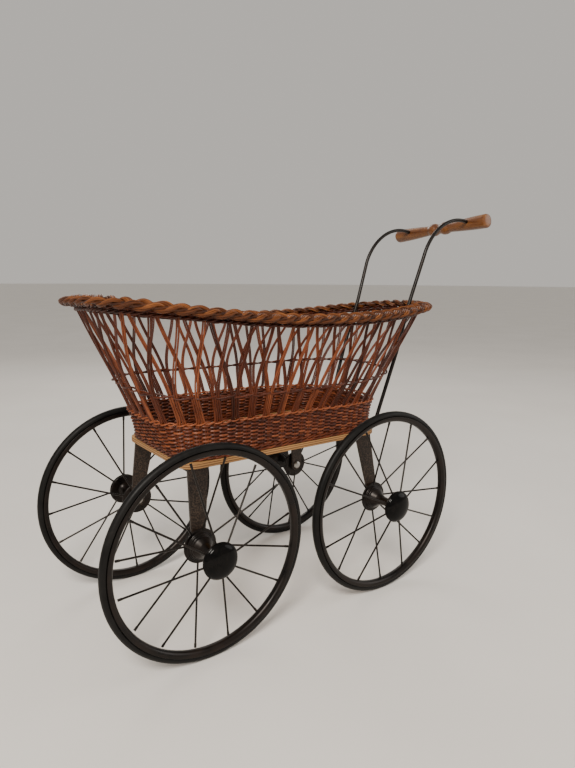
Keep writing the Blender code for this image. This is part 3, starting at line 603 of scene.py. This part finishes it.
def randed_wall():
    """The dense lower wall: rows of single weavers, with waling below and above."""
    low, top = KNOTS[0], KNOTS[1]
    foot_rows, top_rows, wale_high = 2, 1, 0.0043
    first = low + foot_rows * wale_high + 0.0012
    last = top - top_rows * wale_high - 0.0008
    rows, shade_rod_r = 15, 0.0010
    weavers = Strands(6)
    samples = 9 * DOUBLES // 2
    u = np.arange(samples) / samples
    for row in range(rows):
        h = first + (last - first) * row / (rows - 1)
        drift = 0.00022 * np.sin(2 * pi * (5 * u + random.uniform()))
        drift = drift + 0.00018 * np.sin(2 * pi * (17 * u + random.uniform()))
        swing = (STAKE_R + WEAVER_R) * 0.80 * wave(u * DOUBLES + 0.5 + row)
        radius = WEAVER_R * (1.0 + 0.10 * np.sin(2 * pi * (3 * u + random.uniform())))
        points, outward = WALLS.at(u, h + drift, swing)
        weavers.add(points, radius, outward, random.uniform(0.15, 0.85), closed=True)
    # Thin rods close the gaps between the rows; their tone 0.0 gives them the darkest willow colour, as
    # painted shade between the rows.
    u = np.arange(4 * DOUBLES) / (4 * DOUBLES)
    for row in range(rows - 1):
        points, outward = WALLS.at(u, first + (last - first) * (row + 0.5) / (rows - 1))
        weavers.add(points, shade_rod_r, outward, 0.0, closed=True)
    weavers.make("weave_rows", "willow", replaces=("lower_weave",))
    wales = Strands(8)
    for row in range(foot_rows):
        h = low + wale_high * (row + 0.5) + 0.0004
        twined(wales, h, 3, DOUBLES // 3, 0.0025, 0.0013, 0.00145, 0.45)
    twined(wales, top - 0.0018, 2, DOUBLES // 2, 0.0027, 0.0009, 0.0012, 0.70, 14)
    wales.make("weave_waling", "willow")


def stake_path(group, hand, place):
    """One stake of a bundle: u and h up the wall, and its offset out of the wall.

    hand is -1 or 1, the double that the stake belongs to; place is -0.5 or 0.5, its place in that double.
    """
    h = np.linspace(KNOTS[0] + 0.0006, KNOTS[-1], 34)
    pitch = 1.0 / GROUPS
    gather = np.clip((h - (KNOTS[1] - 0.012)) / 0.018, 0.0, 1.0)
    gather = gather * gather * (3 - 2 * gather)
    apart = np.clip((h - KNOTS[2]) / (KNOTS[3] - KNOTS[2]), 0.0, 1.0)
    cross = 0.30 * apart + 0.70 * apart * apart * (3 - 2 * apart)
    length = WALLS.length_at(h)
    beside = place * 2 * STAKE_R * 1.04 / length
    # Spread evenly in the dense wall, side by side above it, and at the neighbours' places under the rim
    spread_u = hand * (pitch / 4 * (1 - gather) + gather * 2 * STAKE_R * 1.05 / length)
    spread_u = spread_u * (1 - 2 * cross) + hand * pitch * cross
    u = (group + 0.5) * pitch + spread_u + beside
    lift = hand * STAKE_R * 1.05 * np.clip(np.sin(pi * np.clip(apart * 1.02, 0, 1)), 0, 1) ** 0.6
    return u, h, lift


def stakes():
    """The openwork: bundles of four rods rise together, then part in doubles and cross their neighbours."""
    rods = Strands(7)
    for group in range(GROUPS):
        for hand in (-1, 1):
            tone = random.uniform(0.05, 0.75)
            sway = random.uniform(-0.0006, 0.0006, 2)
            for place in (-0.5, 0.5):
                u, h, lift = stake_path(group, hand, place)
                rise = (h - KNOTS[1]) / (KNOTS[3] - KNOTS[1])
                bend = np.where(rise > 0, np.sin(pi * np.clip(rise, 0, 1)), 0.0)
                u = u + sway[0] * bend
                points, outward = WALLS.at(u, h, lift + sway[1] * bend)
                radius = STAKE_R * (1.0 - 0.10 * np.clip(rise, 0, 1)) * random.uniform(0.93, 1.06)
                rods.add(points, radius, outward, tone + random.uniform(-0.1, 0.1))
    rods.make("stakes", "willow", replaces=("stake_lattice",))


def fitching():
    """The twisted line that holds the bundles, half a turn to each, and the waling under the border."""
    line = Strands(8)
    twined(line, KNOTS[2], 2, GROUPS // 2, 0.0028, 0.0012, 0.0013, 0.25, 24)
    line.make("fitching_line", "willow")
    # These waling rods are real, but their low tone of 0.12 makes them darker than the rest as painted shade
    # under the border.
    under = Strands(8)
    for row in range(2):
        twined(under, KNOTS[3] - 0.0070 + 0.0040 * row, 3, GROUPS, 0.0028, 0.0012, 0.0014, 0.12)
    under.make("rim_waling", "willow")


def border():
    """The plaited border: three flat strands of rods round the rim, its outer edge a little lower."""
    turns, samples_each = 21, 30
    tilt = radians(11)
    samples = turns * samples_each
    centre = ring(*RIM_LINE, samples)[:-1]
    along = unit(np.roll(centre, -1, axis=0) - np.roll(centre, 1, axis=0))
    flat_out = unit(np.cross(along, (0.0, 0.0, 1.0)))
    up = np.cross(flat_out, along)
    across = flat_out * cos(tilt) - up * sin(tilt)
    over = flat_out * sin(tilt) + up * cos(tilt)
    u = np.arange(samples) / samples
    drift = 0.012 * np.sin(2 * pi * (7 * u + 0.2)) + 0.010 * np.sin(2 * pi * (17 * u + 0.6))
    swing, rise, rod_r, corner = 0.0093, 0.0030, 0.00142, 0.93
    # A strand is four rods side by side on three more.
    bundle = [(k - 1.5, 0.5) for k in range(4)] + [(k - 1.0, -0.5) for k in range(3)]
    plait = Strands(6)
    for strand in range(3):
        phase = 2 * pi * (u * turns + strand / 3 + drift)
        side = np.arcsin(corner * np.sin(phase)) / np.arcsin(corner)
        line = centre + across * (swing * side)[:, None] - over * (rise * np.sin(2 * phase))[:, None]
        tangent = unit(np.roll(line, -1, axis=0) - np.roll(line, 1, axis=0))
        beside = unit(np.cross(over, tangent))
        for place, layer in bundle:
            wander = 0.0002 * np.sin(2 * pi * (11 * u + random.uniform()))
            lift = wander + rod_r * (1.75 * layer - 0.22 * place ** 2)
            offset = beside * (place * 2 * rod_r * 0.98) + over * lift[:, None]
            radius = rod_r * random.uniform(0.92, 1.08)
            plait.add(line + offset, radius, over, random.uniform(0.1, 0.9), closed=True)
    # Rods inside the plait close it; their tone 0.0 gives them the darkest willow colour, as painted shade
    # inside the plait.
    outer_r, inner_r = 0.0020, 0.0027
    for place, shade_core_r in ((-0.0088, outer_r), (-0.0045, inner_r), (0.0, inner_r), (0.0045, inner_r),
                          (0.0088, outer_r)):
        plait.add(centre + across * place, shade_core_r, over, 0.0, closed=True)
    plait.make("rim_plait", "willow_rim", replaces=("rim_braid",))


# ==== wheels
WHEEL_SEGMENTS = 96
HUB_SEGMENTS = 48
HUB_BORE = 0.0031
FLANGE_R = 0.0230
SPOKES = 16
SPOKE_STEP = 2 * pi / SPOKES
SPOKE_R = 0.00135
SPOKE_CIRCLE_R = 0.0190   # the spokes leave the flanges at this radius,
SPOKE_INSET = 0.0012      # this far inside their outer faces


def wheel_frame(name):
    """Centre of a wheel's hub axis (y = 0), which side it is on, and its tyre's middle y."""
    centre = middle("tyre_" + name)
    side = 1 if centre.y > 0 else -1
    return Vector((centre.x, 0.0, centre.z)), side, abs(centre.y)


def reach_from_middle(node_name, side):
    """The least and the greatest distance of a CAD node from the pram's middle plane."""
    low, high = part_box(node_name)
    return (low.y, high.y) if side > 0 else (-high.y, -low.y)


def wheel_turned(name, kind, profile, slot, smooth_angle, replaced, segments=WHEEL_SEGMENTS):
    """A turned piece that spins with its wheel."""
    at, side, _ = wheel_frame(name)
    return lathe(f"{kind}_{name}", profile, segments, slot, "wheel_" + name, at, side, smooth_angle,
                 (f"{replaced}_{name}",))


def tyre_piece(name):
    """A solid tyre: a flat seat in the rim and a rounded tread."""
    _, _, mid = wheel_frame(name)
    low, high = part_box("tyre_" + name)
    outer, half = (high.z - low.z) / 2, (high.y - low.y) / 2
    bed, shoulder, crown, seat, steps = outer - 0.0115, outer - 0.0072, 0.0062, half * 0.80, 16
    profile = [(mid - seat, bed), (mid - seat, shoulder)]
    for k in range(steps + 1):
        a = pi - pi * k / steps
        profile.append((mid + half * cos(a), outer - crown + crown * sin(a) ** 0.9))
    profile += [(mid + seat, shoulder), (mid + seat, bed)]
    wheel_turned(name, "tyre_round", profile, "rubber", 50, "tyre")


def rim_piece(name):
    """A rolled steel rim: a channel for the tyre with a rounded inner face."""
    _, _, mid = wheel_frame(name)
    low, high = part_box("wheel_rim_" + name)
    outer, half = (high.z - low.z) / 2, (high.y - low.y) / 2
    inner, lip, floor = outer - 0.0078, half - 0.0011, outer - 0.0042
    shoulder, turned_in = outer - 0.0040, half * 0.62
    section = [(mid - lip, floor), (mid - lip, outer), (mid - half, outer), (mid - half, shoulder),
               (mid - turned_in, inner + 0.0006), (mid, inner - 0.0002), (mid + turned_in, inner + 0.0006),
               (mid + half, shoulder), (mid + half, outer), (mid + lip, outer), (mid + lip, floor)]
    made = wheel_turned(name, "rim_rolled", rounded(section, 0.0016, 3), "hammertone", 60, "wheel_rim")
    made.data.materials[0] = WHEEL_ENAMEL


def hub_piece(name):
    """The turned hub: a grooved cone on the inner flange, a slim barrel, and the outer flange."""
    _, side, _ = wheel_frame(name)
    inner, outer = reach_from_middle("hub_" + name, side)
    # Distance out from the inner flange's face, and radius
    inner_part = ((0.0, HUB_BORE), (0.0, 0.0090), (0.0006, 0.0105), (0.0, 0.0125), (0.0, FLANGE_R - 0.0006),
                  (0.0007, FLANGE_R), (0.0019, FLANGE_R), (0.0025, FLANGE_R - 0.0008), (0.0025, 0.0190),
                  (0.0031, 0.0180), (0.0052, 0.0176), (0.0056, 0.0160), (0.0063, 0.0164), (0.0078, 0.0158),
                  (0.0082, 0.0145), (0.0090, 0.0148), (0.0110, 0.0132), (0.0165, 0.0092), (0.0235, 0.0068))
    # Distance in from the outer flange's face, and radius
    outer_part = ((0.0130, 0.0058), (0.0070, 0.0062), (0.0045, 0.0082), (0.0026, 0.0110),
                  (0.0025, FLANGE_R - 0.0008), (0.0018, FLANGE_R), (0.0006, FLANGE_R),
                  (0.0, FLANGE_R - 0.0007), (0.0, 0.0190), (0.0, HUB_BORE))
    section = [(inner + y, r) for y, r in inner_part] + [(outer - y, r) for y, r in outer_part]
    profile = rounded(section, 0.0006, 2)
    made = wheel_turned(name, "hub_turned", profile, "hammertone", 40, "hub", HUB_SEGMENTS)
    made.data.materials[0] = WHEEL_ENAMEL


def spoke_angles(name):
    """Directions of the spokes, read from the CAD hub's points, the first of them to the outer flange."""
    at, _, mid = wheel_frame(name)
    points = [vertex.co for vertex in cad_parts["hub_" + name].data.vertices]
    polar = [(hypot(p.x - at.x, p.z - at.z), np.arctan2(p.z - at.z, p.x - at.x), abs(p.y)) for p in points]
    reach = max(r for r, _, _ in polar)
    turns = np.array([a for r, a, _ in polar if r > reach - 0.002]) / SPOKE_STEP
    phase = np.angle(np.exp(2j * pi * turns).sum()) / (2 * pi) * SPOKE_STEP
    # Close to the flanges, a spoke's points lie on its own flange's side of the tyre's middle.
    outward = [0, 0]
    for r, a, y in polar:
        if 0.016 < r < 0.0215:
            outward[round((a - phase) / SPOKE_STEP) % 2] += 1 if y > mid else -1
    if outward[0] < outward[1]:
        phase += SPOKE_STEP
    return [phase + SPOKE_STEP * k for k in range(SPOKES)]


def spokes_piece(name):
    """Straight spokes by turns from the two flanges, each with a head on its flange and a thicker end."""
    at, side, mid = wheel_frame(name)
    low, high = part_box("hub_" + name)
    inner, outer = reach_from_middle("hub_" + name, side)
    reach = (high.z - low.z) / 2 + 0.0006
    head_high = 0.0021
    centre = np.array(at)
    stations = np.array([0.0, 0.02, 0.5, 0.945, 0.95, 0.955, 1.0])
    radii = np.array([1.0, 1.0, 1.0, 1.0, 1.15, 1.25, 1.25]) * SPOKE_R
    head_radii = np.array([1.7, 1.7, 1.0]) * SPOKE_R
    wires = Strands(10)
    for k, a in enumerate(spoke_angles(name)):
        outwards_by, y = (1, outer - SPOKE_INSET) if k % 2 == 0 else (-1, inner + SPOKE_INSET)
        radial = np.array([cos(a), 0.0, sin(a)])
        start = centre + radial * SPOKE_CIRCLE_R + np.array([0.0, side * y, 0.0])
        end = centre + radial * reach + np.array([0.0, side * mid, 0.0])
        wires.add(start + (end - start) * stations[:, None], radii, (0.0, 1.0, 0.0))
        head = start + np.array([0.0, side * outwards_by * head_high, 0.0])
        wires.add(np.array([start, start + (head - start) * 0.75, head]), head_radii, radial)
    wires.make("spokes_" + name, "rod_steel", "wheel_" + name)


def cap_piece(name):
    """The glossy domed cap with a low rolled edge."""
    _, side, _ = wheel_frame(name)
    low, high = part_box("hub_cap_" + name)
    inner, outer = reach_from_middle("hub_cap_" + name, side)
    radius = (high.z - low.z) / 2
    edge_high, wall, steps, hollow_steps = 0.0026, 0.0015, 12, 6
    dome = []
    for k in range(steps + 1):
        a = pi / 2 * k / steps
        r = (radius - 0.0010) * cos(a) if k < steps else 0.0
        dome.append((inner + edge_high + (outer - inner - edge_high) * sin(a) ** 1.1, r))
    edge = [(inner + 0.0022, radius - 0.0004), (inner + 0.0016, radius), (inner + 0.0004, radius),
            (inner, radius - 0.0006), (inner, radius - 0.0024)]
    hollow = []
    for k in range(hollow_steps):
        a = pi / 2 * k / hollow_steps
        hollow.append((inner + wall + (outer - inner - 2 * wall) * sin(a), (radius - 0.0026) * cos(a)))
    hollow.append((outer - wall, 0.0))
    profile = list(reversed(dome)) + edge + hollow
    wheel_turned(name, "cap_dome", profile, "gloss_black", 50, "hub_cap", 64)


def axle_pieces(name):
    """The stub axle with its domed head, the washer, and the nut that the cap hides."""
    at, side, _ = wheel_frame(name)
    head, end = reach_from_middle("axle_" + name, side)
    head_r, head_high, axle_r = 0.0065, 0.0035, 0.0030
    profile = [(head, 0.0)]
    for k in range(7, -1, -1):
        a = pi / 2 * k / 8
        profile.append((head + head_high - head_high * sin(a), head_r * cos(a)))
    profile += [(head + head_high, axle_r), (end - 0.0006, axle_r), (end, axle_r - 0.0006), (end, 0.0)]
    lathe("axle_pin_" + name, profile, 32, "steel", CHASSIS, at, side, 35, ("axle_" + name,))
    for kind, segments, bore, outer_r in (("washer", 32, 0.0033, 0.0070), ("axle_nut", 6, 0.0038, 0.0060)):
        start, stop = reach_from_middle(f"{kind}_{name}", side)
        edge = 0.0003
        section = [(start, bore), (start, outer_r - edge), (start + edge, outer_r), (stop - edge, outer_r),
                   (stop, outer_r - edge), (stop, bore)]
        lathe(f"{kind}_turned_{name}", section, segments, "steel", CHASSIS, at, side, 25,
              (f"{kind}_{name}",))


# ==== board, legs and fastenings
def softened_copy(node_name, name, slot, width, segments=3):
    """A CAD node's own shape as a new piece, with its flat faces made whole and its edges rounded."""
    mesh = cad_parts[node_name].data.copy()
    mesh.materials.clear()
    work = bmesh.new()
    work.from_mesh(mesh)
    bmesh.ops.remove_doubles(work, verts=work.verts, dist=1e-6)
    bmesh.ops.dissolve_limit(work, angle_limit=radians(2.0), verts=work.verts, edges=work.edges)
    work.to_mesh(mesh)
    work.free()
    made = piece(name, mesh, slot, CHASSIS, 30, (node_name,))
    bevel = made.modifiers.new("rounded_edges", "BEVEL")
    bevel.width = width
    bevel.segments = segments
    bevel.limit_method = "ANGLE"
    bevel.angle_limit = radians(35)
    bevel.harden_normals = True


def board_piece():
    """The plywood board with eased edges."""
    low, high = BOARD_LOW, BOARD_HIGH
    corner, ease, steps = 0.022, 0.0009, 10
    profile = [(low.z, ease), (low.z + ease * 0.3, ease * 0.3), (low.z + ease, 0.0), (high.z - ease, 0.0),
               (high.z - ease * 0.3, ease * 0.3), (high.z, ease)]
    rings = []
    for z, inset in profile:
        loop = []
        for x_side, y_side, first in ((1, 1, 0.0), (-1, 1, pi / 2), (-1, -1, pi), (1, -1, 1.5 * pi)):
            cx = MID_X + x_side * ((high.x - low.x) / 2 - corner)
            cy = y_side * ((high.y - low.y) / 2 - corner)
            for k in range(steps + 1):
                a = first + pi / 2 * k / steps
                loop.append((cx + (corner - inset) * cos(a), cy + (corner - inset) * sin(a), z))
        rings.append(loop)
    count = len(rings[0])
    points = [p for loop in rings for p in loop]
    faces = [tuple(reversed(range(count))), tuple(range((len(rings) - 1) * count, len(rings) * count))]
    for i in range(len(rings) - 1):
        for k in range(count):
            n = (k + 1) % count
            faces.append((i * count + k, i * count + n, (i + 1) * count + n, (i + 1) * count + k))
    mesh_object("board_eased", points, faces, "plywood", CHASSIS, 40, ("base_board",))


def screw_piece(node_name):
    """A pan-head screw seen from below: a domed head with a slot, and the shank up into the board."""
    low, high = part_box(node_name)
    x, y = (low.x + high.x) / 2, (low.y + high.y) / 2
    head_r, head_high, shank_r = 0.0036, 0.0018, 0.0016
    slot_half, slot_deep, segments = 0.00045, 0.0009, 32
    work = bmesh.new()
    profile = [(low.z, 0.0), (low.z + 0.0001, head_r * 0.35), (low.z + 0.0005, head_r * 0.75),
               (low.z + 0.0011, head_r * 0.97), (low.z + 0.0014, head_r), (low.z + head_high, head_r),
               (low.z + head_high, shank_r), (high.z - 0.002, shank_r), (high.z, 0.0)]
    rings = []
    for z, r in profile:
        angles = [2 * pi * k / segments for k in range(segments if r > 0 else 1)]
        rings.append([work.verts.new((x + r * cos(a), y + r * sin(a), z)) for a in angles])
    for lower, upper in zip(rings, rings[1:]):
        for k in range(segments):
            n = (k + 1) % segments
            corners = [lower[0]] if len(lower) == 1 else [lower[k], lower[n]]
            corners += [upper[0]] if len(upper) == 1 else [upper[n], upper[k]]
            work.faces.new(corners)
    # The slot: the head's points within it are pushed up into the head.
    for vertex in work.verts:
        if abs(vertex.co.y - y) < slot_half * 2.2 and vertex.co.z < low.z + 0.0012:
            vertex.co.z = low.z + slot_deep
    mesh = bpy.data.meshes.new(node_name + "_fine")
    work.to_mesh(mesh)
    work.free()
    made = piece(node_name + "_fine", mesh, "steel", CHASSIS, None, (node_name,))
    outwards(made.data, 35)


# ==== handle
ROD_R = 0.0030
ROD_KNEE = (MID_X + 0.1950, 0.2488)  # x and z of a point on the leaning upright
ROD_LEAN = atan(0.345)    # from the vertical, towards the rear
ROD_FOOT_BEND_R = 0.016
ROD_DIP = radians(15.5)   # the rods enter the grip pointing this far down
BOW_R = 0.0903
GRIP_Y = 0.0655           # the rods' distance from the middle at the grip
GRIP_HALF = 0.1015


def between(start, end, parts):
    """The points that divide the line from start to end into equal parts."""
    return [tuple(a + (b - a) * k / parts for a, b in zip(start, end)) for k in range(1, parts)]


def rod_line(name):
    """A handle rod's centre line in x and z, from its end under the board into the grip; the bow's foot."""
    low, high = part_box("handle_rod_" + name)
    foot_z, top_z = low.z + ROD_R, high.z - ROD_R
    tan_lean = sin(ROD_LEAN) / cos(ROD_LEAN)
    turn = pi / 2 - ROD_LEAN
    reach = ROD_FOOT_BEND_R * sin(turn / 2) / cos(turn / 2)
    corner_x = ROD_KNEE[0] + (foot_z - ROD_KNEE[1]) * tan_lean
    centre = (corner_x - reach, foot_z + ROD_FOOT_BEND_R)
    path = [(low.x, foot_z), (low.x + 0.0008, foot_z)]
    path += between(path[0], (centre[0], foot_z), 6)
    foot_steps, bow_steps = 16, 40
    for k in range(foot_steps + 1):
        a = -pi / 2 + turn * k / foot_steps
        path.append((centre[0] + ROD_FOOT_BEND_R * cos(a), centre[1] + ROD_FOOT_BEND_R * sin(a)))
    bow_z = top_z - BOW_R * (1 - sin(ROD_LEAN))
    bow_x = ROD_KNEE[0] + (bow_z - ROD_KNEE[1]) * tan_lean
    path += between(path[-1], (bow_x, bow_z), 12)
    centre = (bow_x + BOW_R * cos(ROD_LEAN), bow_z - BOW_R * sin(ROD_LEAN))
    for k in range(bow_steps + 1):
        a = pi - ROD_LEAN - (pi / 2 - ROD_LEAN + ROD_DIP) * k / bow_steps
        path.append((centre[0] + BOW_R * cos(a), centre[1] + BOW_R * sin(a)))
    end = path[-1]
    run = (middle("handle_grip").x - end[0]) / cos(ROD_DIP) - 0.003
    path.append((end[0] + run * cos(ROD_DIP), end[1] - run * sin(ROD_DIP)))
    return path, bow_z


def handle_rods():
    """The two bent rods, a little closer together at the rim's height than above and below it."""
    for name, side in (("left", -1), ("right", 1)):
        path, bow_z = rod_line(name)
        rod = Strands(20)
        # At the board, between the stakes, at the rim and at the foot of the bow
        heights = (BOARD_LOW.z, 0.365, 0.430, bow_z)
        spreads = (0.0580, 0.0636, 0.0610, GRIP_Y)
        points = [(x, side * float(np.interp(z, heights, spreads)), z) for x, z in path]
        radii = np.full(len(points), ROD_R)
        radii[0] = ROD_R * 0.8
        rod.add(points, radii, (0.0, 1.0, 0.0))
        rod.make("rod_bent_" + name, "rod_steel", replaces=("handle_rod_" + name,))


def grip_piece():
    """The turned grip: swelling ends, two beads and a groove in the middle, tilted as the rods hold it."""
    low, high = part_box("handle_grip")
    at, end_r = middle("handle_grip"), (high.x - low.x) / 2
    taper = [(GRIP_HALF - 0.0035, end_r), (0.085, end_r - 0.0002), (0.066, 0.0109), (0.045, 0.0097),
             (0.030, 0.0087), (0.0245, 0.0084), (0.0222, 0.0087), (0.0205, 0.0094), (0.0165, 0.0108),
             (0.0115, 0.0111), (0.0075, 0.0103), (0.0048, 0.0089), (0.0022, 0.0083), (0.0, 0.0082)]
    face = [(GRIP_HALF, 0.0), (GRIP_HALF, 0.0040), (GRIP_HALF - 0.0003, end_r - 0.0028),
            (GRIP_HALF - 0.0014, end_r - 0.0008)]
    right = face + smooth_curve(taper, 4)
    profile = right + [(-y, r) for y, r in reversed(right[:-1])]
    at.y = 0.0
    made = lathe("grip_turned", profile, 56, "turned_wood", CHASSIS, at, 1, 40, ("handle_grip",))
    left_end, right_end = rod_line("left")[0][-1], rod_line("right")[0][-1]
    tilt = atan((right_end[1] - left_end[1]) / (2 * GRIP_Y))
    made.data.transform(Matrix.Translation(at) @ Matrix.Rotation(tilt, 4, "X") @ Matrix.Translation(-at))


# ==== surroundings
FLOOR_R = 30.0
FLOOR_SIDES = 64
LOOK_AT = (0.0, 0.0, 0.28)    # what the lights point at
CAMERA_PAN = radians(-36.147)
CAMERA_TILT = radians(90 - 10.213)
CAMERA_ROLL = radians(0.359)


def area_light(name, at, size, power, colour):
    data = bpy.data.lights.new(name, "AREA")
    data.shape = "DISK"
    data.size = size
    data.energy = power
    data.color = colour
    made = in_scene(name, data)
    made.location = at
    made.rotation_euler = (Vector(LOOK_AT) - Vector(at)).to_track_quat("-Z", "Y").to_euler()


def surroundings():
    """A wide pale floor, a soft warm world, and three large lights."""
    mesh = bpy.data.meshes.new("floor")
    angles = [2 * pi * k / FLOOR_SIDES for k in range(FLOOR_SIDES)]
    edge = [(FLOOR_R * cos(a), FLOOR_R * sin(a), 0.0) for a in angles]
    mesh.from_pydata(edge, [], [tuple(range(FLOOR_SIDES))])
    mesh.materials.append(floor_material())
    in_scene("floor", mesh)
    world = bpy.data.worlds.new("studio")
    world.use_nodes = True
    backdrop = world.node_tree.nodes["Background"]
    backdrop.inputs["Color"].default_value = (0.93, 0.885, 0.825, 1.0)
    backdrop.inputs["Strength"].default_value = 0.60
    bpy.context.scene.world = world
    area_light("key", (-1.5, -1.5, 2.0), 0.9, 82.0, (1.0, 0.94, 0.86))
    area_light("fill", (1.9, -1.2, 1.1), 1.6, 14.0, (1.0, 0.97, 0.94))
    area_light("back", (0.7, 1.9, 1.6), 1.2, 12.0, (1.0, 0.97, 0.92))


def camera():
    """The viewpoint: low, in front of the pram's left front wheel, looking a little down."""
    data = bpy.data.cameras.new("view")
    data.lens = 28.459
    data.sensor_width = 36.0
    data.clip_start = 0.01
    made = in_scene("view", data)
    made.location = (MID_X - 0.48888, -0.75082, 0.47964)
    turn = Matrix.Rotation(CAMERA_PAN, 4, "Z") @ Matrix.Rotation(CAMERA_TILT, 4, "X")
    made.rotation_euler = (turn @ Matrix.Rotation(CAMERA_ROLL, 4, "Z")).to_euler()
    bpy.context.scene.camera = made


# ==== the whole pram
LEG_EDGE, CLIP_EDGE = 0.0007, 0.0002      # widths of their rounded edges

randed_wall()
stakes()
fitching()
border()
for wheel in WHEELS:
    tyre_piece(wheel)
    rim_piece(wheel)
    hub_piece(wheel)
    spokes_piece(wheel)
    cap_piece(wheel)
    axle_pieces(wheel)
    softened_copy("leg_" + wheel, "leg_blade_" + wheel, "hammertone", LEG_EDGE)
    for number in (1, 2):
        screw_piece(f"leg_screw_{wheel}_{number}")
board_piece()
for number in (1, 2, 3, 4):
    softened_copy(f"rod_clip_{number}", f"clip_bent_{number}", "steel", CLIP_EDGE, 2)
    screw_piece(f"clip_screw_{number}")
handle_rods()
grip_piece()
surroundings()
camera()
